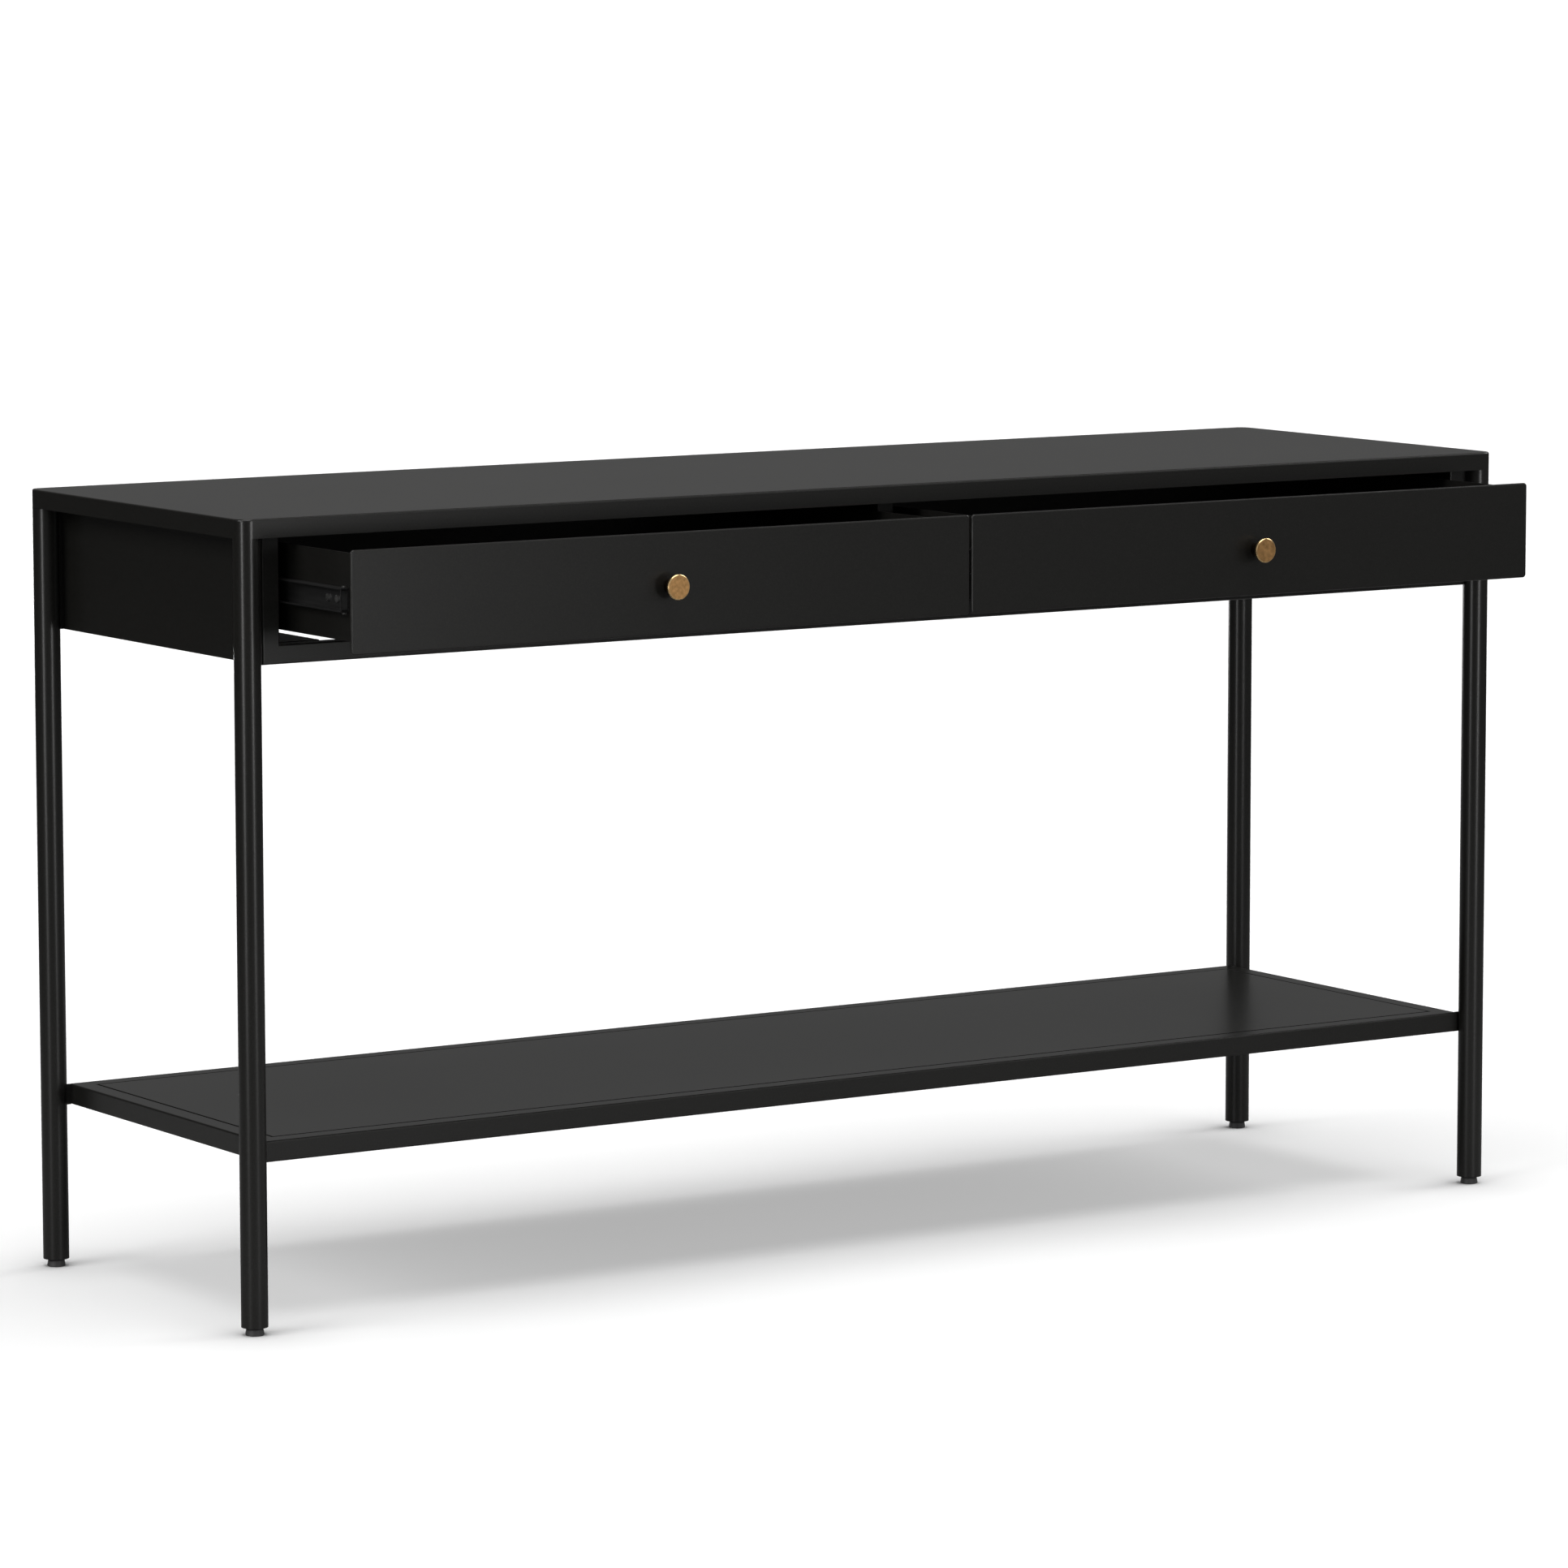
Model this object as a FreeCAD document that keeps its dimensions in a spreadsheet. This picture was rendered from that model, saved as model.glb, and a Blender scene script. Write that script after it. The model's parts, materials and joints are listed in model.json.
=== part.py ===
import FreeCAD, Part
import os
import Sketcher

# Console table of powder-coated steel: a folded top pan on four round legs, an apron box
# with two drawers on ball-bearing slides, and a low shelf.
# Frame: X along the table, the front faces -Y, Z up from the floor. The drawers stand part
# open, and the origin lies under the middle of everything, the open drawers included.

DIMENSIONS = {
    # top pan
    "TopLength": 1460.0,
    "TopDepth": 430.0,
    "TableHeight": 762.0,
    "RimHeight": 18.0,
    "TopSheet": 1.5,
    "TopLip": 40.0,
    "TopEdgeRadius": 2.0,
    "StiffenerWidth": 40.0,
    "StiffenerHeight": 14.0,
    "StiffenerLength": 1360.0,
    "StiffenerOffset": 80.0,
    # legs and feet
    "LegRadius": 12.7,
    "LegWall": 1.5,
    "LegBottom": 7.7,
    "PlugLength": 20.0,
    "FootRadius": 9.0,
    "FootTaper": 0.9,
    "FootHeight": 6.4,
    "FootEdge": 0.6,
    "StudRadius": 4.0,
    "StudTop": 30.0,
    "StudClearance": 0.05,
    # apron box
    "BoxInset": 16.0,
    "BoxBottom": 625.5,
    "FrameTube": 18.0,
    "TubeWall": 1.5,
    "TubeRadius": 1.6,
    "PanelSheet": 1.5,
    "PanelFlange": 14.0,
    "PostWidth": 19.0,
    "SlideRailHeight": 50.0,
    "LedgeHeight": 17.0,
    "LedgeReach": 51.0,
    "SupportTop": 720.0,
    # shelf
    "ShelfTop": 180.0,
    "ShelfHalfLength": 703.0,
    "ShelfHalfDepth": 197.0,
    "ShelfTube": 20.0,
    "ShelfGroove": 1.6,
    "ShelfSheet": 1.2,
    "ShelfFlange": 14.0,
    "CrossBarWidth": 25.0,
    "CrossBarThickness": 3.0,
    "CrossBarSpacing": 450.0,
    # drawers
    "DrawerOpening": 129.0,
    "DrawerGap": 1.2,
    "FrontOuter": 680.0,
    "FrontBottom": 644.4,
    "FrontTop": 740.2,
    "FrontSheet": 2.0,
    "FrontCorner": 3.5,
    "FrontEdgeRadius": 1.3,
    "TraySheet": 1.2,
    "TrayDepth": 350.0,
    "TrayBottom": 655.0,
    "TrayTop": 736.0,
    "TrayTab": 15.0,
    "BackTop": 730.0,
    # ball-bearing slides
    "SlideThickness": 12.7,
    "SlideLength": 350.0,
    "SlideSetback": 18.0,
    "SlideHeight": 693.0,
    "SlideSheet": 1.2,
    "InnerChannel": 22.0,
    "OuterChannel": 35.0,
    "FlangeReach": 9.3,
    "BallRadius": 2.5,
    "BallPitch": 13.0,
    "CageLength": 84.0,
    "CageSheet": 0.8,
    "CageWidth": 6.6,
    "CageClearance": 0.1,
    "ScrewRadius": 2.0,
    "ScrewClearance": 0.1,
    "ScrewHeadRadius": 3.5,
    "ScrewHeadHeight": 1.5,
    "ScrewTail": 2.0,
    # knobs
    "KnobAcross": 340.0,
    "KnobHeight": 690.0,
    "KnobReach": 17.0,
    "KnobDiscRadius": 12.0,
    "KnobDiscHeight": 2.8,
    "KnobDiscEdge": 0.7,
    "KnobShoulderRadius": 10.9,
    "KnobBaseRadius": 6.4,
    "KnobBaseHeight": 2.0,
    "KnobBoreDepth": 9.0,
    # weld beads
    "WeldReach": 6.0,
    "WeldWidth": 2.2,
}

SIDES = {"left": -1, "right": 1}
ENDS = {"front": -1, "rear": 1}

# Expressions over the driving dimensions, used in more than one sub-part.
LEG_X = "(Sheet.TopLength / 2 - Sheet.LegRadius)"
LEG_Y = "(Sheet.TopDepth / 2 - Sheet.LegRadius)"
BOX_X = f"({LEG_X} - Sheet.BoxInset)"
BOX_Y = LEG_Y
BOX_TOP = "(Sheet.TableHeight - Sheet.RimHeight)"
BOX_HEIGHT = f"({BOX_TOP} - Sheet.BoxBottom)"
BEHIND_FRAME = f"({BOX_Y} - Sheet.FrameTube)"
PANEL_INSIDE_X = f"({BOX_X} - Sheet.PanelSheet)"
PANEL_INSIDE_Y = f"({BOX_Y} - Sheet.PanelSheet)"
SHELF_BOTTOM = "(Sheet.ShelfTop - Sheet.ShelfTube)"
KNOB_FRONT = f"({BOX_Y} + Sheet.DrawerOpening + Sheet.KnobReach)"
# How far the middle of the table lies behind the origin.
CENTRE_Y = f"({KNOB_FRONT} - Sheet.TopDepth / 2) / 2"
TRAY_INNER_X = "(Sheet.PostWidth / 2 + Sheet.SlideThickness)"
SUPPORT_X = f"({BOX_X} - Sheet.FrameTube - Sheet.DrawerGap / 3)"
TRAY_OUTER_X = f"({SUPPORT_X} - Sheet.SlideThickness)"
FRONT_FACE_Y = f"({BOX_Y} + Sheet.DrawerOpening)"
FRONT_BACK_Y = f"({FRONT_FACE_Y} - Sheet.FrontSheet)"
BALL_HEIGHT = "((Sheet.InnerChannel + Sheet.OuterChannel) / 4 - Sheet.SlideSheet / 2)"
# The drawer slides' screws, counted from a member's front end: two near the front, two behind.
SLIDE_SCREWS = (20, 37, 190, 320)

UP = FreeCAD.Vector(0, 0, 1)

doc = FreeCAD.newDocument("console_table")
sheet = doc.addObject("Spreadsheet::Sheet", "Sheet")
subparts = []


def fill_sheet():
    """Write each driving dimension to a row of the sheet, its name beside it."""
    for row, (alias, value) in enumerate(DIMENSIONS.items(), start=1):
        sheet.set(f"A{row}", alias)
        sheet.set(f"B{row}", str(value))
        sheet.setAlias(f"B{row}", alias)
    doc.recompute()


def number(text):
    """The value of an expression over the sheet, in millimetres."""
    return float(sheet.evalExpression(text))


def keep(part, label):
    """Name a finished sub-part after its node and put it on the list that is written."""
    part.Label = label
    subparts.append(part)
    return part


def place(part, x, y, z):
    """Bind a part's position. Y is counted from the table's middle, not from the origin."""
    part.setExpression(".Placement.Base.x", x)
    part.setExpression(".Placement.Base.y", f"({y}) + {CENTRE_Y}")
    part.setExpression(".Placement.Base.z", z)


def block(low, size):
    """A plain block from its low corner and size, given as expressions."""
    solid = doc.addObject("Part::Box", "Block")
    for name, text in zip(("Length", "Width", "Height"), size):
        solid.setExpression(name, text)
    place(solid, *low)
    return solid


def sided_block(side, inner_x, low_y, low_z, size):
    """A block whose face nearest the table's middle is at inner_x, on the left or right."""
    low_x = inner_x if side > 0 else f"-({inner_x}) - ({size[0]})"
    return block((low_x, low_y, low_z), size)


def cylinder(radius, length, position, axis=UP):
    """A cylinder that starts at position and runs along axis."""
    solid = doc.addObject("Part::Cylinder", "Round")
    solid.setExpression("Radius", radius)
    solid.setExpression("Height", length)
    solid.Placement.Rotation = FreeCAD.Rotation(UP, axis)
    place(solid, *position)
    return solid


def cut(base, tools):
    """The base less every tool."""
    tool = tools[0]
    if len(tools) > 1:
        tool = doc.addObject("Part::Compound", "Tools")
        tool.Links = tools
    result = doc.addObject("Part::Cut", "Cut")
    result.Base = base
    result.Tool = tool
    return result


def fuse(parts):
    """Parts that touch, joined into one solid."""
    result = doc.addObject("Part::MultiFuse", "Joined")
    result.Shapes = parts
    result.Refine = True
    return result


def group(parts):
    """Alike pieces, kept as separate solids of one node."""
    result = doc.addObject("Part::Compound", "Set")
    result.Links = parts
    return result


def new_body(label):
    return doc.addObject("PartDesign::Body", label)


def new_sketch(body, role, lift=None):
    """A sketch on one of the body's origin planes, raised along the plane's normal."""
    sketch = body.newObject("Sketcher::SketchObject", "Outline")
    plane = next(f for f in body.Origin.OriginFeatures if f.Role == role)
    sketch.AttachmentSupport = [(plane, "")]
    sketch.MapMode = "FlatFace"
    if lift:
        sketch.setExpression(".AttachmentOffset.Base.z", lift)
    return sketch


def hold_point(sketch, line, kind, text):
    """Tie one coordinate of a line's start to the sketch's origin by an expression."""
    if text == "0":
        axis = -2 if kind == "DistanceX" else -1
        sketch.addConstraint(Sketcher.Constraint("PointOnObject", line, 1, axis))
        return
    value = number(text)
    ends = (-1, 1, line, 1) if value > 0 else (line, 1, -1, 1)
    index = sketch.addConstraint(Sketcher.Constraint(kind, *ends, abs(value)))
    sketch.setExpression(f"Constraints[{index}]", text if value > 0 else f"-({text})")


def draw_outline(sketch, points):
    """A closed outline of straight lines through points given as pairs of expressions."""
    corners = [FreeCAD.Vector(number(x), number(y), 0) for x, y in points]
    first = sketch.GeometryCount
    last = first + len(points) - 1
    for start, end in zip(corners, corners[1:] + corners[:1]):
        sketch.addGeometry(Part.LineSegment(start, end), False)
    for line in range(first, last + 1):
        after = first if line == last else line + 1
        sketch.addConstraint(Sketcher.Constraint("Coincident", line, 2, after, 1))
    for line, (x, y) in enumerate(points, start=first):
        hold_point(sketch, line, "DistanceX", x)
        hold_point(sketch, line, "DistanceY", y)


def rectangle(half_x, half_y):
    """Corner points of a rectangle about the sketch's origin."""
    return [
        (f"-({half_x})", f"-({half_y})"),
        (half_x, f"-({half_y})"),
        (half_x, half_y),
        (f"-({half_x})", half_y),
    ]


def cornered_rectangle(half_x, half_y, corner):
    """A rectangle about the sketch's origin with its corners cut off at 45 degrees."""
    short_x, short_y = f"({half_x} - {corner})", f"({half_y} - {corner})"
    return [
        (f"-{short_x}", f"-{half_y}"),
        (short_x, f"-{half_y}"),
        (half_x, f"-{short_y}"),
        (half_x, short_y),
        (short_x, half_y),
        (f"-{short_x}", half_y),
        (f"-{half_x}", short_y),
        (f"-{half_x}", f"-{short_y}"),
    ]


def draw_circle(sketch, radius):
    """A circle about the sketch's origin."""
    circle = Part.Circle(FreeCAD.Vector(0, 0, 0), FreeCAD.Vector(0, 0, 1), number(radius))
    line = sketch.addGeometry(circle, False)
    sketch.addConstraint(Sketcher.Constraint("Coincident", line, 3, -1, 1))
    index = sketch.addConstraint(Sketcher.Constraint("Radius", line, number(radius)))
    sketch.setExpression(f"Constraints[{index}]", radius)


def pad(body, sketch, length, midplane=False, reverse=False):
    feature = body.newObject("PartDesign::Pad", "Pad")
    feature.Profile = sketch
    feature.setExpression("Length", length)
    feature.Midplane = midplane
    feature.Reversed = reverse
    doc.recompute()
    return feature


def pocket(body, sketch, length, reverse=False):
    """Cut a sketch's outline out of the body, and stop if nothing was cut."""
    before = body.Shape.Volume
    feature = body.newObject("PartDesign::Pocket", "Pocket")
    feature.Profile = sketch
    feature.setExpression("Length", length)
    feature.Reversed = reverse
    doc.recompute()
    if body.Shape.Volume > before - 1e-3:
        raise RuntimeError(f"{body.Name}: a pocket cut nothing")
    return feature


def revolve(body, sketch):
    """Turn a half outline once round the sketch's upright axis."""
    feature = body.newObject("PartDesign::Revolution", "Revolution")
    feature.Profile = sketch
    feature.ReferenceAxis = (sketch, ["V_Axis"])
    feature.Angle = 360.0
    doc.recompute()
    return feature


def round_edges(body, base, chosen, radius):
    """Round the edges of a feature that the test function chooses."""
    edges = [f"Edge{i}" for i, edge in enumerate(base.Shape.Edges, start=1) if chosen(edge)]
    feature = body.newObject("PartDesign::Fillet", "Rounding")
    feature.Base = (base, edges)
    feature.setExpression("Radius", radius)
    doc.recompute()
    return feature


def runs_along(axis):
    """A test for straight edges that run along an axis, whatever their ends."""
    def chosen(edge):
        start, end = edge.Vertexes[0].Point, edge.Vertexes[-1].Point
        return abs((end - start).normalize().dot(axis)) > 0.999
    return chosen


def at_height(z):
    """A test for edges that lie flat at one height."""
    return lambda edge: edge.BoundBox.ZLength < 1e-4 and abs(edge.BoundBox.ZMin - z) < 1e-4


def tube_body(label, half_x, half_y, length, wall="Sheet.TubeWall"):
    """A square tube that stands on the XY plane, with rounded outer corners."""
    body = new_body(label)
    outline = new_sketch(body, "XY_Plane")
    draw_outline(outline, rectangle(half_x, half_y))
    solid = pad(body, outline, length)
    round_edges(body, solid, runs_along(UP), "Sheet.TubeRadius")
    bore = new_sketch(body, "XY_Plane")
    draw_outline(bore, rectangle(f"{half_x} - {wall}", f"{half_y} - {wall}"))
    pocket(body, bore, length, reverse=True)
    return body


def mitred_tube(label, tube, starts, ends):
    """A square tube along the sketch's X axis, its outer face on that axis and its ends mitred.

    Starts and ends are where the outer face and the inner face begin and stop. They differ by
    the tube's width at a mitre, and not at all at a square end.
    """
    wall = "Sheet.TubeWall"
    body = new_body(label)
    outline = new_sketch(body, "XY_Plane")
    draw_outline(outline, [(starts[0], "0"), (ends[0], "0"), (ends[1], tube), (starts[1], tube)])
    solid = pad(body, outline, tube)
    round_edges(body, solid, runs_along(FreeCAD.Vector(1, 0, 0)), "Sheet.TubeRadius")
    bore = new_sketch(body, "XY_Plane", wall)
    low_x, high_x = f"({starts[0]} - {wall})", f"({ends[0]} + {wall})"
    draw_outline(bore, [
        (low_x, wall),
        (high_x, wall),
        (high_x, f"{tube} - {wall}"),
        (low_x, f"{tube} - {wall}"),
    ])
    pocket(body, bore, f"{tube} - 2 * {wall}", reverse=True)
    return body


def folded_bar(label, points, length):
    """A folded sheet bar: a section in the XZ plane, drawn out towards +Y."""
    body = new_body(label)
    section = new_sketch(body, "XZ_Plane")
    draw_outline(section, points)
    pad(body, section, length, reverse=True)
    return body


def channel_points(side, web_x, flange_x, low_z, high_z, sheet_metal):
    """A C section: an upright web at web_x and two flanges that end at flange_x.

    Side is -1 or 1 and mirrors the section. The flanges point towards flange_x.
    """
    inward = "-" if number(flange_x) < number(web_x) else "+"
    outline = [
        (web_x, low_z),
        (flange_x, low_z),
        (flange_x, f"{low_z} + {sheet_metal}"),
        (f"{web_x} {inward} {sheet_metal}", f"{low_z} + {sheet_metal}"),
        (f"{web_x} {inward} {sheet_metal}", f"{high_z} - {sheet_metal}"),
        (flange_x, f"{high_z} - {sheet_metal}"),
        (flange_x, high_z),
        (web_x, high_z),
    ]
    return mirrored(outline, side)


def mirrored(points, side):
    """The same outline, or its mirror image across the sketch's upright axis."""
    if side > 0:
        return points
    return [(f"-({x})", z) for x, z in points]


def make_top_panel():
    """The folded top pan: skin, rim and a lip turned in under the legs and the apron."""
    body = new_body("top_panel")
    half_x, half_y = "Sheet.TopLength / 2", "Sheet.TopDepth / 2"
    outline = new_sketch(body, "XY_Plane", BOX_TOP)
    draw_outline(outline, rectangle(half_x, half_y))
    slab = pad(body, outline, "Sheet.RimHeight")
    upright = runs_along(UP)
    corners = round_edges(body, slab, upright, "Sheet.LegRadius")
    top_edge = at_height(number("Sheet.TableHeight"))
    round_edges(body, corners, top_edge, "Sheet.TopEdgeRadius")
    hollow = new_sketch(body, "XY_Plane", f"{BOX_TOP} + Sheet.TopSheet")
    inner_x, inner_y = f"({half_x} - Sheet.TopSheet)", f"({half_y} - Sheet.TopSheet)"
    draw_outline(hollow, cornered_rectangle(inner_x, inner_y, "(Sheet.LegRadius - Sheet.TopSheet)"))
    pocket(body, hollow, "Sheet.RimHeight - 2 * Sheet.TopSheet", reverse=True)
    mouth = new_sketch(body, "XY_Plane", BOX_TOP)
    draw_outline(mouth, rectangle(f"{half_x} - Sheet.TopLip", f"{half_y} - Sheet.TopLip"))
    pocket(body, mouth, "2 * Sheet.TopSheet", reverse=True)
    place(body, "0", "0", "0")
    keep(body, "top_panel")


def make_top_stiffener(end):
    """A channel welded under the top skin along the table, its mouth against the skin."""
    half, wall = "Sheet.StiffenerWidth / 2", "Sheet.ShelfSheet"
    top = "(Sheet.TableHeight - Sheet.TopSheet)"
    bottom = f"({top} - Sheet.StiffenerHeight)"
    body = new_body(f"top_stiffener_{end}")
    section = new_sketch(body, "YZ_Plane")
    draw_outline(section, [
        (f"-({half})", bottom),
        (half, bottom),
        (half, top),
        (f"{half} - {wall}", top),
        (f"{half} - {wall}", f"{bottom} + {wall}"),
        (f"-({half} - {wall})", f"{bottom} + {wall}"),
        (f"-({half} - {wall})", top),
        (f"-({half})", top),
    ])
    pad(body, section, "Sheet.StiffenerLength", midplane=True)
    place(body, "0", f"{ENDS[end]} * Sheet.StiffenerOffset", "0")
    keep(body, body.Name)


def make_leg(end, side):
    """A round tube leg from just above the floor up to the top pan's lip."""
    body = new_body(f"leg_{end}_{side}")
    ring = new_sketch(body, "XY_Plane")
    draw_circle(ring, "Sheet.LegRadius")
    draw_circle(ring, "Sheet.LegRadius - Sheet.LegWall")
    pad(body, ring, f"{BOX_TOP} - Sheet.LegBottom")
    place(body, f"{SIDES[side]} * {LEG_X}", f"{ENDS[end]} * {LEG_Y}", "Sheet.LegBottom")
    keep(body, body.Name)


def make_leg_plug(end, side):
    """The threaded plug pressed into a leg's lower end."""
    body = new_body(f"leg_plug_{end}_{side}")
    ring = new_sketch(body, "XY_Plane")
    draw_circle(ring, "Sheet.LegRadius - Sheet.LegWall")
    draw_circle(ring, "Sheet.StudRadius + Sheet.StudClearance")
    pad(body, ring, "Sheet.PlugLength")
    place(body, f"{SIDES[side]} * {LEG_X}", f"{ENDS[end]} * {LEG_Y}", "Sheet.LegBottom")
    keep(body, body.Name)


def make_levelling_foot(end, side):
    """A plastic glide that widens downwards, moulded on a stud that screws into the plug."""
    body = new_body(f"levelling_foot_{end}_{side}")
    profile = new_sketch(body, "XZ_Plane")
    draw_outline(profile, [
        ("0", "0"),
        ("Sheet.FootRadius - Sheet.FootEdge", "0"),
        ("Sheet.FootRadius", "Sheet.FootEdge"),
        ("Sheet.FootRadius - Sheet.FootTaper", "Sheet.FootHeight - Sheet.FootEdge"),
        ("Sheet.FootRadius - Sheet.FootTaper - Sheet.FootEdge", "Sheet.FootHeight"),
        ("Sheet.StudRadius", "Sheet.FootHeight"),
        ("Sheet.StudRadius", "Sheet.StudTop"),
        ("0", "Sheet.StudTop"),
    ])
    revolve(body, profile)
    place(body, f"{SIDES[side]} * {LEG_X}", f"{ENDS[end]} * {LEG_Y}", "0")
    keep(body, body.Name)


def make_side_panel(side):
    """The apron's end: a sheet with flanges turned in at its top and bottom."""
    flange_x = f"({PANEL_INSIDE_X} - Sheet.PanelFlange)"
    points = channel_points(
        SIDES[side], BOX_X, flange_x, "Sheet.BoxBottom", BOX_TOP, "Sheet.PanelSheet"
    )
    body = folded_bar(f"side_panel_{side}", points, f"{PANEL_INSIDE_Y} + {BEHIND_FRAME}")
    place(body, "0", f"-{BEHIND_FRAME}", "0")
    keep(body, body.Name)


def make_back_panel():
    """The apron's back, across the ends, its flanges cut short where theirs begin."""
    inside_flange = f"{PANEL_INSIDE_Y} - Sheet.PanelFlange"
    body = new_body("back_panel_sheet")
    section = new_sketch(body, "YZ_Plane")
    draw_outline(section, channel_points(
        1, BOX_Y, f"({inside_flange})", "Sheet.BoxBottom", BOX_TOP, "Sheet.PanelSheet"
    ))
    pad(body, section, f"2 * {BOX_X}", midplane=True)
    place(body, "0", "0", "0")
    corner = "Sheet.PanelFlange"
    clearances = [
        sided_block(
            side,
            f"{PANEL_INSIDE_X} - {corner}",
            inside_flange,
            "Sheet.BoxBottom - Sheet.PanelSheet",
            (f"2 * {corner}", corner, f"{BOX_HEIGHT} + 2 * Sheet.PanelSheet"),
        )
        for side in SIDES.values()
    ]
    keep(cut(body, clearances), "back_panel")


def make_front_stile(side):
    """The upright tube at each end of the drawer opening, mitred to the bottom rail."""
    tube, ends = "Sheet.FrameTube", (BOX_HEIGHT, BOX_HEIGHT)
    body = mitred_tube(f"front_stile_{side}", tube, ("0", tube), ends)
    inward = FreeCAD.Vector(-SIDES[side], 0, 0)
    body.Placement.Rotation = FreeCAD.Rotation(UP, inward, UP.cross(inward), "XYZ")
    front_y = f"-{BOX_Y}" if SIDES[side] < 0 else f"-{BEHIND_FRAME}"
    place(body, f"{SIDES[side]} * {BOX_X}", front_y, "Sheet.BoxBottom")
    keep(body, body.Name)


def make_bottom_rail():
    """The tube under the drawer fronts, mitred to the stiles."""
    inner_x = f"({BOX_X} - Sheet.FrameTube)"
    starts, ends = (f"-{BOX_X}", f"-{inner_x}"), (BOX_X, inner_x)
    body = mitred_tube("front_bottom_rail", "Sheet.FrameTube", starts, ends)
    body.Placement.Rotation = FreeCAD.Rotation(FreeCAD.Vector(1, 0, 0), 90)
    place(body, "0", f"-{BEHIND_FRAME}", "Sheet.BoxBottom")
    keep(body, body.Name)


def make_centre_post():
    """The upright behind the gap between the drawer fronts."""
    half = "Sheet.PostWidth / 2"
    body = tube_body("centre_post", half, half, BOX_HEIGHT)
    place(body, "0", f"-({BEHIND_FRAME} - {half})", "Sheet.BoxBottom")
    keep(body, body.Name)


def make_centre_slide_rail():
    """The deep tube from the centre post to the back, which carries both inner slides."""
    half = "Sheet.PostWidth / 2"
    length = f"{BEHIND_FRAME} - Sheet.PostWidth + {PANEL_INSIDE_Y}"
    body = tube_body("centre_rail_tube", half, "Sheet.SlideRailHeight / 2", length)
    body.Placement.Rotation = FreeCAD.Rotation(FreeCAD.Vector(1, 0, 0), -90)
    place(body, "0", f"-({BEHIND_FRAME} - Sheet.PostWidth)", "Sheet.SlideHeight")
    holes = [
        hole
        for side in SIDES.values()
        for hole in slide_holes(side, "0", "Sheet.PostWidth", closed_slide_y())
    ]
    keep(cut(body, holes), "centre_slide_rail")


def make_slide_support(side):
    """The folded Z bar beside a drawer: top flange, web for the slide, ledge under the drawer."""
    wall = "Sheet.PanelSheet"
    ledge_x = f"({SUPPORT_X} - Sheet.LedgeReach)"
    ledge_z = "(Sheet.BoxBottom + Sheet.LedgeHeight)"
    points = [
        (ledge_x, ledge_z),
        (f"{SUPPORT_X} + {wall}", ledge_z),
        (f"{SUPPORT_X} + {wall}", f"Sheet.SupportTop - {wall}"),
        (PANEL_INSIDE_X, f"Sheet.SupportTop - {wall}"),
        (PANEL_INSIDE_X, "Sheet.SupportTop"),
        (SUPPORT_X, "Sheet.SupportTop"),
        (SUPPORT_X, f"{ledge_z} + {wall}"),
        (ledge_x, f"{ledge_z} + {wall}"),
    ]
    length = f"{BEHIND_FRAME} + {PANEL_INSIDE_Y}"
    body = folded_bar(f"folded_support_{side}", mirrored(points, SIDES[side]), length)
    place(body, "0", f"-{BEHIND_FRAME}", "0")
    holes = slide_holes(SIDES[side], f"{SUPPORT_X} - {wall}", f"3 * {wall}", closed_slide_y())
    keep(cut(body, holes), f"slide_support_{side}")


def make_shelf_rail(label, turn, half_length, x, y):
    """One tube of the shelf frame, mitred at both ends and turned about the upright."""
    inner = f"({half_length} - Sheet.ShelfTube)"
    starts, ends = (f"-{half_length}", f"-{inner}"), (half_length, inner)
    body = mitred_tube(label, "Sheet.ShelfTube", starts, ends)
    body.Placement.Rotation = FreeCAD.Rotation(UP, turn)
    place(body, x, y, SHELF_BOTTOM)
    keep(body, label)


def make_shelf_frame():
    """The four shelf rails, each turned so that its outer face looks outwards."""
    long, short = "Sheet.ShelfHalfLength", "Sheet.ShelfHalfDepth"
    make_shelf_rail("shelf_rail_front", 0, long, "0", f"-{short}")
    make_shelf_rail("shelf_rail_right", 90, short, long, "0")
    make_shelf_rail("shelf_rail_rear", 180, long, "0", short)
    make_shelf_rail("shelf_rail_left", 270, short, f"-{long}", "0")


def make_shelf_panel():
    """The shelf sheet, set in flush with its frame, its edges folded down."""
    inset = "(Sheet.ShelfTube + Sheet.ShelfGroove)"
    half_x = f"(Sheet.ShelfHalfLength - {inset})"
    half_y = f"(Sheet.ShelfHalfDepth - {inset})"
    deep = "(Sheet.ShelfSheet + Sheet.ShelfFlange)"
    body = new_body("shelf_panel")
    outline = new_sketch(body, "XY_Plane", f"Sheet.ShelfTop - {deep}")
    draw_outline(outline, rectangle(half_x, half_y))
    pad(body, outline, deep)
    hollow = new_sketch(body, "XY_Plane", f"Sheet.ShelfTop - {deep}")
    wall = "Sheet.ShelfSheet"
    draw_outline(hollow, rectangle(f"{half_x} - {wall}", f"{half_y} - {wall}"))
    pocket(body, hollow, "Sheet.ShelfFlange", reverse=True)
    place(body, "0", "0", "0")
    keep(body, "shelf_panel")


def make_shelf_cross_bars():
    """Flat bars across the shelf frame, on which the panel's flanges rest."""
    half_y = "(Sheet.ShelfHalfDepth - Sheet.ShelfTube)"
    under_panel = "Sheet.ShelfTop - Sheet.ShelfSheet - Sheet.ShelfFlange - Sheet.CrossBarThickness"
    size = ("Sheet.CrossBarWidth", f"2 * {half_y}", "Sheet.CrossBarThickness")
    bars = []
    for step in (-1, 0, 1):
        low_x = f"{step} * Sheet.CrossBarSpacing - Sheet.CrossBarWidth / 2"
        bars.append(block((low_x, f"-{half_y}", under_panel), size))
    keep(group(bars), "shelf_cross_bars")


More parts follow.
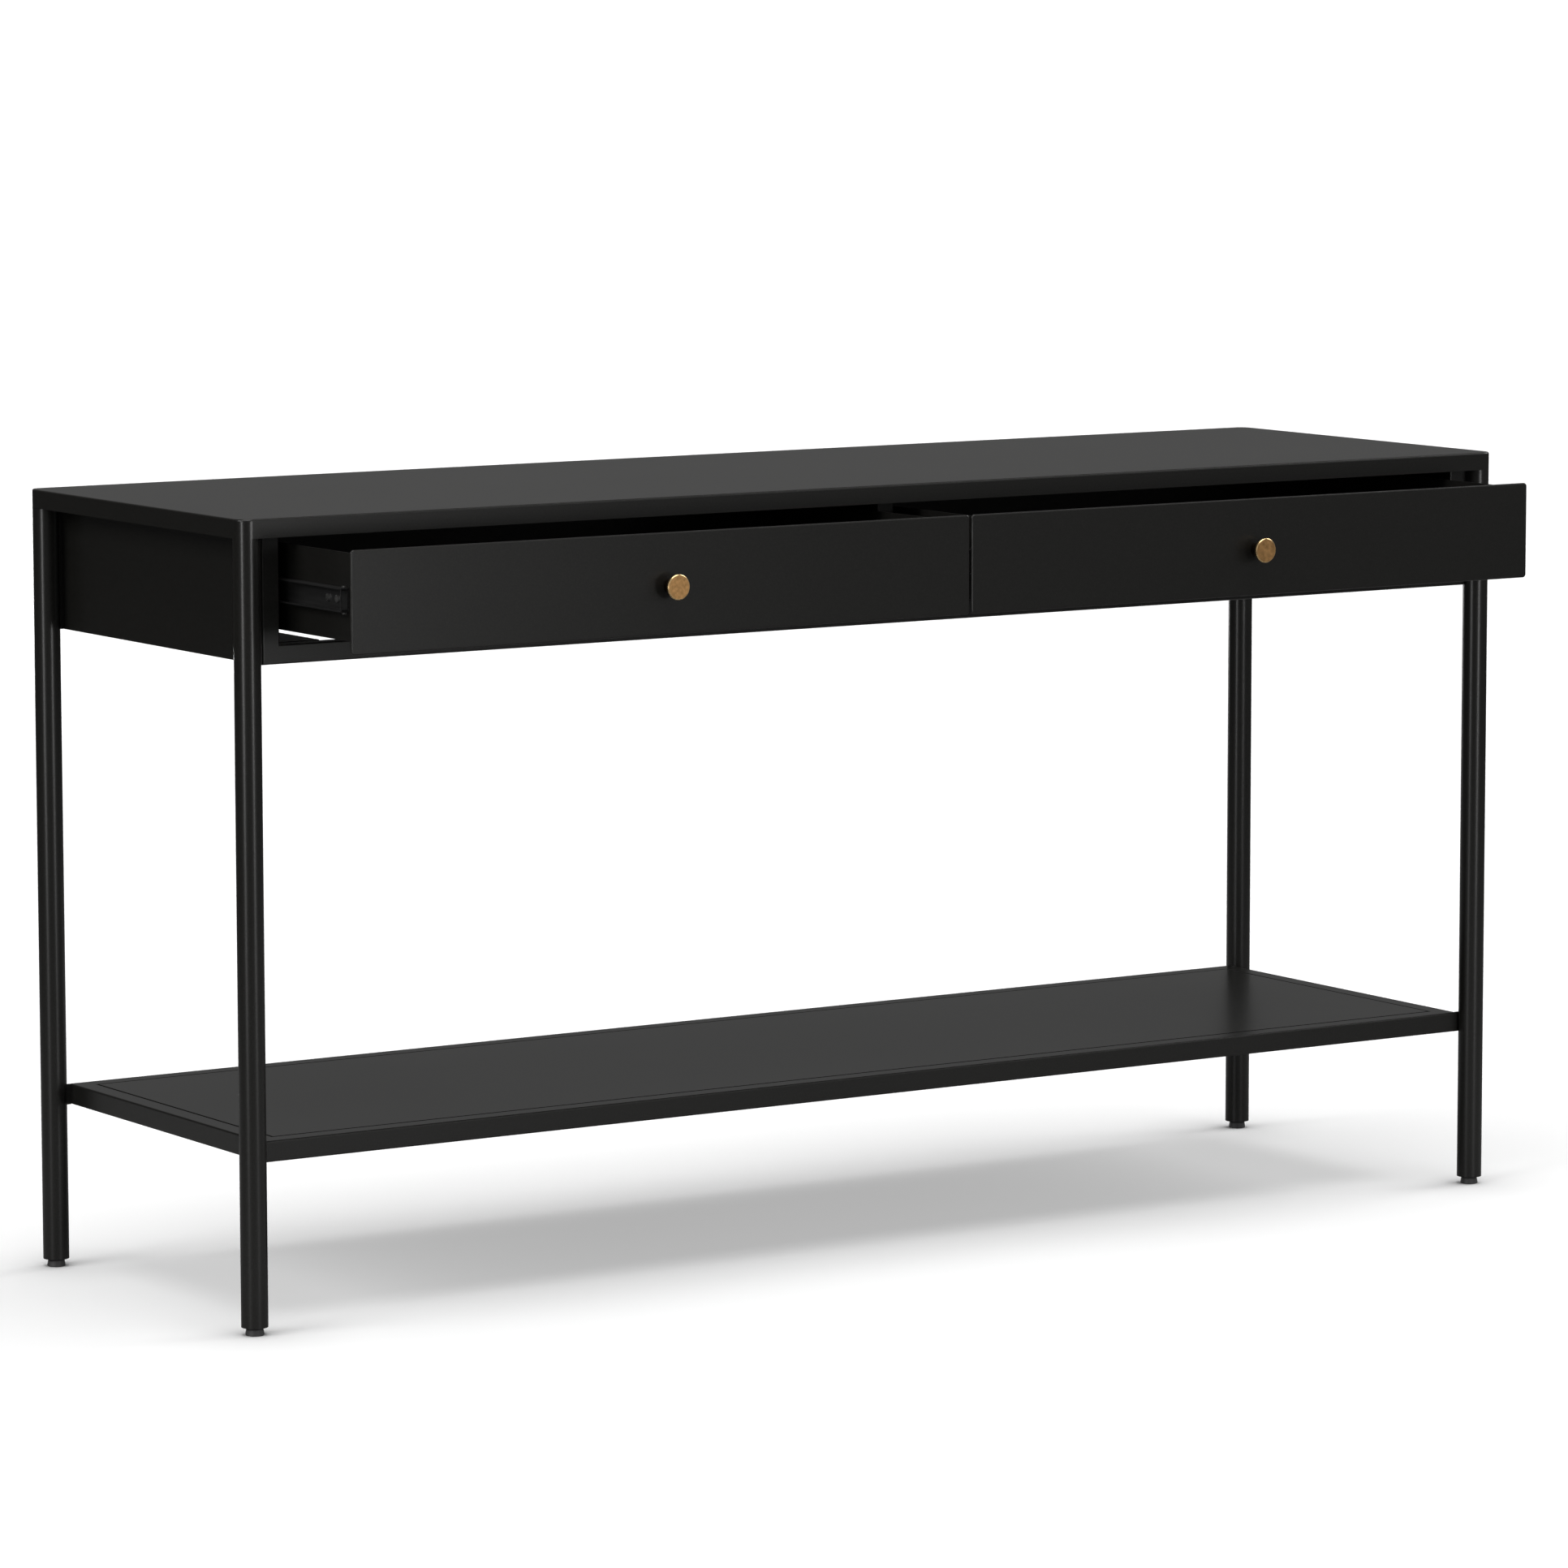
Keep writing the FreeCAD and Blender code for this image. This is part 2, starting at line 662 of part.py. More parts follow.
def weld_beads(face_x, edge_y, low_z, height):
    """Beads that fill the gap between an upright face and each leg, as separate solids."""
    beads = []
    for side in SIDES.values():
        for end in ENDS.values():
            low_y = f"{edge_y} - Sheet.WeldWidth" if end > 0 else f"-({edge_y})"
            size = ("Sheet.WeldReach", "Sheet.WeldWidth", height)
            bead = sided_block(side, face_x, low_y, low_z, size)
            position = (f"{side} * {LEG_X}", f"{end} * {LEG_Y}", "0")
            leg = cylinder("Sheet.LegRadius", "Sheet.TableHeight", position)
            beads.append(cut(bead, [leg]))
    return group(beads)


def make_welds():
    """The welds that join the apron box and the shelf frame to the legs."""
    edge_y = f"({BOX_Y} - Sheet.TubeRadius)"
    keep(weld_beads(BOX_X, edge_y, "Sheet.BoxBottom", BOX_HEIGHT), "apron_welds")
    edge_y = "(Sheet.ShelfHalfDepth - Sheet.TubeRadius)"
    beads = weld_beads("Sheet.ShelfHalfLength", edge_y, SHELF_BOTTOM, "Sheet.ShelfTube")
    keep(beads, "shelf_welds")


def closed_slide_y():
    """The front end of a slide's fixed member."""
    return f"(-{BOX_Y} + Sheet.FrontSheet + Sheet.SlideSetback)"


def open_slide_y():
    """The front end of a slide's moving member, the drawer as it stands."""
    return f"({closed_slide_y()} - Sheet.DrawerOpening)"


def slide_holes(side, inner_x, reach, start_y):
    """Clearance holes for one slide member's screws, through whatever carries it."""
    axis = FreeCAD.Vector(side, 0, 0)
    radius = "Sheet.ScrewRadius + Sheet.ScrewClearance"
    holes = []
    for distance in SLIDE_SCREWS:
        at = (f"{side} * ({inner_x})", f"{start_y} + {distance}", "Sheet.SlideHeight")
        holes.append(cylinder(radius, reach, at, axis))
    return holes


def slide_screws(side, head_x, towards, start_y):
    """Pan-head screws whose heads sit on a web at head_x and whose shanks point towards +/-X."""
    axis = FreeCAD.Vector(side * towards, 0, 0)
    shank = "2 * Sheet.PanelSheet + Sheet.ScrewTail"
    screws = []
    for distance in SLIDE_SCREWS:
        at = (f"{side} * ({head_x})", f"{start_y} + {distance}", "Sheet.SlideHeight")
        head = cylinder("Sheet.ScrewHeadRadius", "Sheet.ScrewHeadHeight", at, axis * -1)
        body = cylinder("Sheet.ScrewRadius", shank, at, axis)
        screws.append(fuse([head, body]))
    return screws


def slide_section(web_x, flange_x, height):
    """A slide member's section about the slide's centre height."""
    low = f"(Sheet.SlideHeight - {height} / 2)"
    high = f"(Sheet.SlideHeight + {height} / 2)"
    return lambda side: channel_points(side, web_x, flange_x, low, high, "Sheet.SlideSheet")


def make_slide(side, drawer, place_name, drawer_x, cabinet_x):
    """The two members of one slide, between the drawer's side and what carries the slide."""
    outward = "+" if number(cabinet_x) > number(drawer_x) else "-"
    inward = "-" if outward == "+" else "+"
    members = (
        ("drawer_member", drawer_x, outward, "Sheet.InnerChannel", open_slide_y()),
        ("cabinet_member", cabinet_x, inward, "Sheet.OuterChannel", closed_slide_y()),
    )
    for name, web_x, reach, height, start_y in members:
        points = slide_section(web_x, f"({web_x} {reach} Sheet.FlangeReach)", height)(side)
        bar = folded_bar(f"{drawer}_{place_name}_{name}_bar", points, "Sheet.SlideLength")
        place(bar, "0", start_y, "0")
        first = f"{web_x} {reach} 3 * Sheet.SlideSheet"
        lowest = web_x if number(first) > number(web_x) else first
        holes = slide_holes(side, f"{lowest} - Sheet.SlideSheet", "6 * Sheet.SlideSheet", start_y)
        keep(cut(bar, holes), f"{drawer}_{place_name}_{name}")


def cage_y():
    """The front end of the ball cages, which stay half-way between the two members."""
    return f"({closed_slide_y()} + (Sheet.SlideLength - Sheet.CageLength - Sheet.DrawerOpening) / 2)"


def make_ball_cages(side, drawer, middles):
    """Cage strips above and below each slide's inner member, and the balls they space out."""
    strips, balls = [], []
    count = int(number("Sheet.CageLength / Sheet.BallPitch"))
    margin = f"(Sheet.CageLength - {count} * Sheet.BallPitch) / 2"
    for middle_x in middles:
        for level in (-1, 1):
            centre_z = f"Sheet.SlideHeight + {level} * {BALL_HEIGHT}"
            strip = block(
                (
                    f"{side} * ({middle_x}) - Sheet.CageWidth / 2",
                    cage_y(),
                    f"{centre_z} - Sheet.CageSheet / 2",
                ),
                ("Sheet.CageWidth", "Sheet.CageLength", "Sheet.CageSheet"),
            )
            seats = []
            for index in range(count):
                along = f"{cage_y()} + {margin} + {index + 0.5} * Sheet.BallPitch"
                at = (f"{side} * ({middle_x})", along, centre_z)
                ball = doc.addObject("Part::Sphere", "Ball")
                ball.setExpression("Radius", "Sheet.BallRadius")
                place(ball, *at)
                balls.append(ball)
                under = (*at[:2], f"{centre_z} - Sheet.CageSheet")
                seat = "Sheet.BallRadius + Sheet.CageClearance"
                seats.append(cylinder(seat, "2 * Sheet.CageSheet", under))
            strips.append(cut(strip, seats))
    keep(group(strips), f"{drawer}_ball_cages")
    keep(group(balls), f"{drawer}_balls")


def make_drawer_front(side, drawer):
    """The flat drawer front, with softened corners and a hole for the knob's screw."""
    width = "(Sheet.FrontOuter - Sheet.DrawerGap)"
    height = "(Sheet.FrontTop - Sheet.FrontBottom)"
    body = new_body(f"{drawer}_front_plate")
    outline = new_sketch(body, "XZ_Plane")
    draw_outline(outline, rectangle(f"{width} / 2", f"{height} / 2"))
    plate = pad(body, outline, "Sheet.FrontSheet")
    through = runs_along(FreeCAD.Vector(0, 1, 0))
    corners = round_edges(body, plate, through, "Sheet.FrontCorner")
    face_y = corners.Shape.BoundBox.YMin

    def on_face(edge):
        return edge.BoundBox.YLength < 1e-4 and abs(edge.BoundBox.YMin - face_y) < 1e-4

    round_edges(body, corners, on_face, "Sheet.FrontEdgeRadius")
    middle_x = f"{side} * (Sheet.DrawerGap + {width} / 2)"
    place(body, middle_x, f"-{FRONT_BACK_Y}", f"Sheet.FrontBottom + {height} / 2")
    hole = cylinder(
        "Sheet.ScrewRadius + Sheet.ScrewClearance",
        "3 * Sheet.FrontSheet",
        (f"{side} * Sheet.KnobAcross", f"-({FRONT_FACE_Y} + Sheet.FrontSheet)", "Sheet.KnobHeight"),
        FreeCAD.Vector(0, 1, 0),
    )
    keep(cut(body, [hole]), f"{drawer}_front")


def make_tray(side, drawer):
    """The drawer's folded bottom and sides, with tabs against the front and slide holes."""
    wall = "Sheet.TraySheet"
    inner, outer = TRAY_INNER_X, TRAY_OUTER_X
    points = mirrored([
        (inner, "Sheet.TrayBottom"),
        (outer, "Sheet.TrayBottom"),
        (outer, "Sheet.TrayTop"),
        (f"{outer} - {wall}", "Sheet.TrayTop"),
        (f"{outer} - {wall}", f"Sheet.TrayBottom + {wall}"),
        (f"{inner} + {wall}", f"Sheet.TrayBottom + {wall}"),
        (f"{inner} + {wall}", "Sheet.TrayTop"),
        (inner, "Sheet.TrayTop"),
    ], side)
    body = folded_bar(f"{drawer}_folded_tray", points, "Sheet.TrayDepth")
    place(body, "0", f"-{FRONT_BACK_Y}", "0")
    size = ("Sheet.TrayTab", wall, "Sheet.TrayTop - Sheet.TrayBottom")
    tabs = [
        sided_block(side, start, f"-{FRONT_BACK_Y}", "Sheet.TrayBottom", size)
        for start in (inner, f"{outer} - Sheet.TrayTab")
    ]
    holes = [
        hole
        for start in (inner, outer)
        for hole in slide_holes(side, f"{start} - 2 * {wall}", f"4 * {wall}", open_slide_y())
    ]
    keep(cut(fuse([body, *tabs]), holes), f"{drawer}_tray")


def make_tray_back(side, drawer):
    """The sheet across the rear of the tray."""
    wall = "Sheet.TraySheet"
    size = (
        f"{TRAY_OUTER_X} - {TRAY_INNER_X} - 2 * {wall}",
        wall,
        f"Sheet.BackTop - Sheet.TrayBottom - {wall}",
    )
    low_y = f"-{FRONT_BACK_Y} + Sheet.TrayDepth - {wall}"
    plate = sided_block(side, f"{TRAY_INNER_X} + {wall}", low_y, f"Sheet.TrayBottom + {wall}", size)
    keep(plate, f"{drawer}_back")


def make_knob(side, drawer):
    """The turned knob: a foot that flares to a flat disc, drilled from behind for its screw."""
    body = new_body(f"{drawer}_turned_knob")
    profile = new_sketch(body, "XY_Plane")
    bore = "Sheet.ScrewRadius + Sheet.ScrewClearance"
    disc, edge = "Sheet.KnobDiscRadius", "Sheet.KnobDiscEdge"
    disc_back = "(Sheet.KnobReach - Sheet.KnobDiscHeight)"
    draw_outline(profile, [
        (bore, "0"),
        ("Sheet.KnobBaseRadius", "0"),
        ("Sheet.KnobBaseRadius", "-Sheet.KnobBaseHeight"),
        ("Sheet.KnobShoulderRadius", f"-({disc_back} - {edge})"),
        ("Sheet.KnobShoulderRadius", f"-{disc_back}"),
        (f"{disc} - {edge} / 2", f"-{disc_back}"),
        (disc, f"-({disc_back} + {edge} / 2)"),
        (disc, f"-(Sheet.KnobReach - {edge})"),
        (f"{disc} - {edge}", "-Sheet.KnobReach"),
        ("0", "-Sheet.KnobReach"),
        ("0", "-Sheet.KnobBoreDepth"),
        (bore, "-Sheet.KnobBoreDepth"),
    ])
    revolve(body, profile)
    place(body, f"{side} * Sheet.KnobAcross", f"-{FRONT_FACE_Y}", "Sheet.KnobHeight")
    keep(body, f"{drawer}_knob")


def make_knob_screw(side, drawer):
    """The screw that holds the knob from inside the drawer."""
    at = (f"{side} * Sheet.KnobAcross", f"-{FRONT_BACK_Y}", "Sheet.KnobHeight")
    backwards = FreeCAD.Vector(0, 1, 0)
    head = cylinder("Sheet.ScrewHeadRadius", "Sheet.ScrewHeadHeight", at, backwards)
    length = "Sheet.FrontSheet + Sheet.KnobBoreDepth - Sheet.ScrewTail"
    shank = cylinder("Sheet.ScrewRadius", length, at, backwards * -1)
    keep(fuse([head, shank]), f"{drawer}_knob_screw")


def make_drawer(hand):
    """One drawer with its knob, its two slides and their screws."""
    side, drawer = SIDES[hand], f"{hand}_drawer"
    make_drawer_front(side, drawer)
    make_tray(side, drawer)
    make_tray_back(side, drawer)
    make_knob(side, drawer)
    make_knob_screw(side, drawer)
    post_x, web = "(Sheet.PostWidth / 2)", "Sheet.SlideSheet"
    make_slide(side, drawer, "outer_slide", TRAY_OUTER_X, SUPPORT_X)
    make_slide(side, drawer, "inner_slide", TRAY_INNER_X, post_x)
    half = "Sheet.SlideThickness / 2"
    make_ball_cages(side, drawer, (f"{TRAY_OUTER_X} + {half}", f"{TRAY_INNER_X} - {half}"))
    drawer_screws = [
        *slide_screws(side, f"{TRAY_OUTER_X} + {web}", -1, open_slide_y()),
        *slide_screws(side, f"{TRAY_INNER_X} - {web}", 1, open_slide_y()),
    ]
    cabinet_screws = [
        *slide_screws(side, f"{SUPPORT_X} - {web}", 1, closed_slide_y()),
        *slide_screws(side, f"{post_x} + {web}", -1, closed_slide_y()),
    ]
    keep(group(drawer_screws), f"{drawer}_moving_slide_screws")
    keep(group(cabinet_screws), f"{drawer}_fixed_slide_screws")


def check_document():
    """Stop if any object failed or any sub-part has no valid shape."""
    for item in doc.Objects:
        if "Invalid" in item.State or "Error" in item.State:
            raise RuntimeError(f"{item.Name} failed: {item.State}")
    for part in subparts:
        if part.Shape.isNull() or not part.Shape.isValid() or not part.Shape.Solids:
            raise RuntimeError(f"{part.Label} has no valid solid")


def write_subparts():
    """Write each sub-part to its own STEP file."""
    os.makedirs("parts", exist_ok=True)
    for part in subparts:
        part.Shape.exportStep(f"parts/{part.Label}.step")


fill_sheet()
make_top_panel()
for end_name in ENDS:
    make_top_stiffener(end_name)
    for side_name in SIDES:
        make_leg(end_name, side_name)
        make_leg_plug(end_name, side_name)
        make_levelling_foot(end_name, side_name)
for side_name in SIDES:
    make_side_panel(side_name)
    make_front_stile(side_name)
    make_slide_support(side_name)
make_back_panel()
make_bottom_rail()
make_centre_post()
make_centre_slide_rail()
make_shelf_frame()
make_shelf_panel()
make_shelf_cross_bars()
make_welds()
for side_name in SIDES:
    make_drawer(side_name)
doc.recompute()
check_document()
write_subparts()
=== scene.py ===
import json
import math

import bpy
from mathutils import Euler, Matrix, Vector


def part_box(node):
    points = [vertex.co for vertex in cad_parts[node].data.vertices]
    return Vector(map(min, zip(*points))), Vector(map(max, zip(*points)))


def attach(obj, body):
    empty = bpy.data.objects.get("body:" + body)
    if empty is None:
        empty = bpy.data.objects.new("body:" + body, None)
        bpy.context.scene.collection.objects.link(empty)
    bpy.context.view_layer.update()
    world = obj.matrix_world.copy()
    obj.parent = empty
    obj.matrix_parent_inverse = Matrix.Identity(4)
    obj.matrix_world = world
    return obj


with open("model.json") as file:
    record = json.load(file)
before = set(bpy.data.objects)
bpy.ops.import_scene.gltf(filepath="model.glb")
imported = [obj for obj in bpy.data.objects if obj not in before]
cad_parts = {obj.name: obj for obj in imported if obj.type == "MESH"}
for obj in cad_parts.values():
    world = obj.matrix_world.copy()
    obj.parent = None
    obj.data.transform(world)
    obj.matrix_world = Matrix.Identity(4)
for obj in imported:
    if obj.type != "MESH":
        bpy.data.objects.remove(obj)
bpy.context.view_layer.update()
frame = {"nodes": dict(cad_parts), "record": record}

# A console table of black powder-coated steel with brass knobs, on a plain pale floor.
# Lengths are in metres unless a comment says otherwise. The table's front faces -Y.

TOP_LOW, TOP_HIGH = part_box("top_panel")
# The floor under the middle of the tabletop.
TABLE_MIDDLE = Vector(((TOP_LOW.x + TOP_HIGH.x) / 2, (TOP_LOW.y + TOP_HIGH.y) / 2, 0))

# The camera's place from the table's middle, its angles, and its lens and sensor in millimetres.
CAMERA_OFFSET = Vector((-3.7904, -5.8695, 1.3127))
CAMERA_TURN = math.radians(-32.857)
CAMERA_DIP = math.radians(7.068)
CAMERA_ROLL = math.radians(-0.097)
CAMERA_LENS = 161.37
SENSOR_WIDTH = 36.0

SIDES = {"left": -1, "right": 1}

# How far back the knobs' bright disc reaches from their faces. Further back, the knob is painted
# near black as painted shade.
DISC_THICKNESS = 0.0028

# Width of the broken edges of the parts whose names end like this.
EDGE_BREAKS = {
    "_tray": 0.0006,
    "_drawer_back": 0.0003,
    "_member": 0.0005,
    "slide_support_left": 0.0004,
    "slide_support_right": 0.0004,
    "shelf_panel": 0.0005,
}
# Folds that turn by less than this stay as they are.
EDGE_BREAK_ANGLE = math.radians(50)

# The folded stop inside the front end of a moving slide member, and the lugs above and below.
STOP_SETBACK = 0.0004
STOP_DEPTH = 0.0016
STOP_SHEET = 0.0010
STOP_EDGE_BREAK = 0.0002
# How far the stop stays inside the member's box, at its open side, its web and its flanges.
OPEN_SIDE_MARGIN = 0.0004
WEB_MARGIN = 0.0013
FLANGE_MARGIN = 0.0014
LUG_RISE = 0.0020
LUG_LENGTH = 0.0045
LUG_HALF_WIDTH = 0.0012
LUG_EDGE_BREAK = 0.0004

# The floor's radius is so large that its edge is never in view.
FLOOR_RADIUS = 400.0
FLOOR_SIDES = 96
FLOOR_GLOW = 0.40
# Within this reach of an object the floor's glow dims, as a contact shadow.
CONTACT_REACH = 0.10

# Soft patches of the surroundings: azimuth from the front, rise and spread in degrees, brightness.
SURROUNDINGS = (
    (150, 8, 52, 0.165),
    (38, -4, 60, 0.54),
    (-30, 5, 60, 0.37),
)
SURROUNDINGS_GREY = 0.016
BACKDROP_WHITE = 1.05

# The softboxes stand on the floor and are lower than the tabletop, so as not to glare on it.
SOFTBOX_WIDTH = 0.8
SOFTBOX_HEIGHT = 0.7
SOFTBOX_WATTS = 26


# ---------------------------------------------------------------- node helpers


class Nodes:
    """A material or world under construction: makes nodes and links them in one call."""

    def __init__(self, tree):
        self.tree = tree
        tree.nodes.clear()

    def add(self, kind, links=None, **settings):
        """A new node. Settings are node properties; links maps inputs to values or sockets."""
        node = self.tree.nodes.new(kind)
        for name, value in settings.items():
            setattr(node, name, value)
        for name, value in (links or {}).items():
            socket = node.inputs[name]
            if isinstance(value, bpy.types.NodeSocket):
                self.tree.links.new(value, socket)
            else:
                socket.default_value = value
        return node

    def ramp(self, factor, stops):
        """A colour ramp through (position, grey or colour) stops."""
        node = self.add("ShaderNodeValToRGB", {"Fac": factor})
        elements = node.color_ramp.elements
        while len(elements) < len(stops):
            elements.new(0.5)
        for element, (position, colour) in zip(elements, stops):
            element.position = position
            element.color = as_colour(colour)
        return node.outputs["Color"]

    def span(self, value, low, high, start=0.0, end=1.0):
        """Stretch a value that runs from start to end, so that it runs from low to high."""
        links = {"Value": value, "From Min": start, "From Max": end, "To Min": low, "To Max": high}
        return self.add("ShaderNodeMapRange", links).outputs["Result"]

    def maths(self, operation, first, second=0.0):
        node = self.add("ShaderNodeMath", {0: first, 1: second}, operation=operation)
        return node.outputs["Value"]

    def noise(self, place, scale, detail=2.0, rough=0.5):
        links = {"Vector": place, "Scale": scale, "Detail": detail, "Roughness": rough}
        return self.add("ShaderNodeTexNoise", links).outputs["Fac"]

    def mix_colours(self, factor, first, second):
        """The first colour at factor 0 and the second at factor 1."""
        # The colour inputs of this node are numbers 6 and 7, and its colour output is number 2.
        node = self.add("ShaderNodeMix", data_type="RGBA")
        self.tree.links.new(factor, node.inputs[0])
        self.tree.links.new(first, node.inputs[6])
        node.inputs[7].default_value = as_colour(second)
        return node.outputs[2]

    def surface(self, colour, roughness, bump, uniform):
        """Finish a material. Bump is its height, strength and distance; uniform holds the rest."""
        height, strength, distance = bump
        relief = self.add("ShaderNodeBump", {
            "Strength": strength,
            "Distance": distance,
            "Height": height,
        })
        shader = self.add("ShaderNodeBsdfPrincipled", {
            "Base Color": colour,
            "Roughness": roughness,
            "Normal": relief.outputs["Normal"],
            **uniform,
        })
        self.add("ShaderNodeOutputMaterial", {"Surface": shader.outputs[0]})


def as_colour(value):
    """A grey level or an RGB triple as RGBA."""
    if isinstance(value, (int, float)):
        return (value, value, value, 1.0)
    return (*value, 1.0)


def new_material(name):
    """A material, its nodes, and the place on the object that its textures follow."""
    material = bpy.data.materials.new(name)
    material.use_nodes = True
    nodes = Nodes(material.node_tree)
    return material, nodes, nodes.add("ShaderNodeTexCoord").outputs["Object"]


# ---------------------------------------------------------------- materials


def powder_coat():
    """Satin black powder coat: a fine orange-peel skin with a soft grain in its tone."""
    material, nodes, place = new_material("black_powder_coat")
    cloud = nodes.noise(place, 6.0)
    grain = nodes.noise(place, 1100.0, 1.0)
    tone = nodes.noise(place, 560.0, 3.0, 0.6)
    colour = nodes.ramp(tone, [
        (0.30, (0.0085, 0.0082, 0.0074)),
        (0.50, (0.0110, 0.0107, 0.0096)),
        (0.72, (0.0150, 0.0146, 0.0133)),
    ])
    roughness = nodes.maths("ADD", nodes.span(grain, 0.27, 0.31), nodes.span(cloud, -0.006, 0.006))
    nodes.surface(colour, roughness, (grain, 0.22, 0.00002), {"IOR": 1.48})
    return material


def slide_steel():
    """Rolled sheet with a thin black electro-coat, rougher than the table's coat."""
    material, nodes, place = new_material("black_slide_steel")
    stretch = nodes.add("ShaderNodeMapping", {"Vector": place, "Scale": (400.0, 12.0, 400.0)})
    streaks = nodes.noise(stretch.outputs["Vector"], 1.0, 3.0)
    colour = nodes.ramp(streaks, [(0.3, 0.012), (0.7, 0.022)])
    roughness = nodes.span(streaks, 0.30, 0.40)
    nodes.surface(colour, roughness, (streaks, 0.2, 0.00004), {"IOR": 1.6})
    return material


def zinc_steel():
    """Bright zinc plate with fine drawing marks and a faint bloom."""
    material, nodes, place = new_material("zinc_steel")
    bloom = nodes.noise(place, 180.0, 3.0)
    marks = nodes.noise(place, 2200.0, 1.0)
    colour = nodes.ramp(bloom, [(0.3, (0.62, 0.62, 0.60)), (0.7, (0.80, 0.81, 0.80))])
    roughness = nodes.span(bloom, 0.22, 0.36)
    nodes.surface(colour, roughness, (marks, 0.15, 0.00003), {"Metallic": 1.0})
    return material


def distance_from_knob_axis(nodes, parts, knob_x, knob_z):
    """Distance from the axis of the nearer knob. The two axes mirror each other across X = 0."""
    across = nodes.maths("SUBTRACT", nodes.maths("ABSOLUTE", parts.outputs["X"]), knob_x)
    up = nodes.maths("SUBTRACT", parts.outputs["Z"], knob_z)
    square = nodes.maths("ADD", nodes.maths("POWER", across, 2.0), nodes.maths("POWER", up, 2.0))
    return nodes.maths("SQRT", square)


def antique_brass(knob_x, knob_z, rim_radius, disc_y):
    """Aged brass: turned face with a brown patina, worn at its rim, and painted near black back
    from disc_y, as painted shade on the knob's body.
    """
    material, nodes, place = new_material("antique_brass")
    parts = nodes.add("ShaderNodeSeparateXYZ", {"Vector": place})
    radius = distance_from_knob_axis(nodes, parts, knob_x, knob_z)
    patina = nodes.noise(place, 260.0, 4.0, 0.6)
    fine = nodes.noise(place, 1700.0)
    rings = nodes.maths("SINE", nodes.maths("MULTIPLY", radius, 9000.0))
    worn = nodes.span(radius, 0.0, 1.0, rim_radius * 0.88, rim_radius * 0.97)
    # Back from the disc, the knob's body is painted near black, as painted shade.
    painted_shade_behind_disc = nodes.span(parts.outputs["Y"], 0.0, 1.0, disc_y - 0.0003, disc_y + 0.0005)
    aged = nodes.ramp(patina, [(0.32, (0.48, 0.265, 0.105)), (0.68, (0.74, 0.42, 0.170))])
    face = nodes.mix_colours(worn, aged, (0.85, 0.60, 0.30))
    colour = nodes.mix_colours(painted_shade_behind_disc, face, (0.045, 0.030, 0.017))
    dull = nodes.maths("ADD", nodes.span(patina, 0.30, 0.44), nodes.span(fine, -0.03, 0.03))
    roughness = nodes.maths("SUBTRACT", dull, nodes.maths("MULTIPLY", worn, 0.10))
    height = nodes.maths("ADD", nodes.maths("MULTIPLY", rings, 0.12), fine)
    nodes.surface(colour, roughness, (height, 0.25, 0.00005), {"Metallic": 1.0})
    return material


def grey_plastic():
    """Moulded dark grey plastic with a fine spark-eroded texture."""
    material, nodes, place = new_material("grey_plastic")
    texture = nodes.noise(place, 1400.0)
    colour = nodes.ramp(texture, [(0.35, 0.045), (0.65, 0.062)])
    roughness = nodes.span(texture, 0.48, 0.60)
    nodes.surface(colour, roughness, (texture, 0.3, 0.00006), {"IOR": 1.46})
    return material


def apply_materials():
    """Give every CAD node the material of the slot that the record states for it."""
    knob_low, knob_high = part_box("left_drawer_knob")
    middle = (knob_low + knob_high) / 2
    rim_radius = (knob_high.x - knob_low.x) / 2
    disc_y = knob_low.y + DISC_THICKNESS
    materials = {
        "black_powder_coat": powder_coat(),
        "black_slide_steel": slide_steel(),
        "zinc_steel": zinc_steel(),
        "antique_brass": antique_brass(abs(middle.x), middle.z, rim_radius, disc_y),
        "grey_plastic": grey_plastic(),
    }
    for part in frame["record"]["subparts"]:
        node = frame["nodes"][part["node"]]
        node.data.materials.clear()
        node.data.materials.append(materials[part["material_slot"]])
    return materials


# ---------------------------------------------------------------- detail


def break_edges(thing, width):
    bevel = thing.modifiers.new("edge_break", "BEVEL")
    bevel.width = width
    bevel.segments = 2
    bevel.limit_method = "ANGLE"
    bevel.angle_limit = EDGE_BREAK_ANGLE


def soften_edges():
    """Break the sharp edges of the folded sheet parts, so that they catch the light."""
    for name, node in frame["nodes"].items():
        for ending, width in EDGE_BREAKS.items():
            if name.endswith(ending):
                break_edges(node, width)


def box_faces(start):
    """The six quads of a box. Its corners count from start, round its low face, then its high."""
    quads = ((0, 3, 2, 1), (4, 5, 6, 7), (0, 1, 5, 4), (1, 2, 6, 5), (2, 3, 7, 6), (3, 0, 4, 7))
    return [tuple(start + corner for corner in quad) for quad in quads]


def boxes_object(name, boxes, material, edge_break):
    """One object of several boxes, each given by its low and high corners."""
    vertices, faces = [], []
    for low, high in boxes:
        faces += box_faces(len(vertices))
        for z in (low[2], high[2]):
            vertices += [(low[0], low[1], z), (high[0], low[1], z)]
            vertices += [(high[0], high[1], z), (low[0], high[1], z)]
    mesh = bpy.data.meshes.new(name)
    mesh.from_pydata(vertices, [], faces)
    mesh.validate()
    piece = bpy.data.objects.new(name, mesh)
    bpy.context.scene.collection.objects.link(piece)
    piece.data.materials.append(material)
    break_edges(piece, edge_break)
    return piece


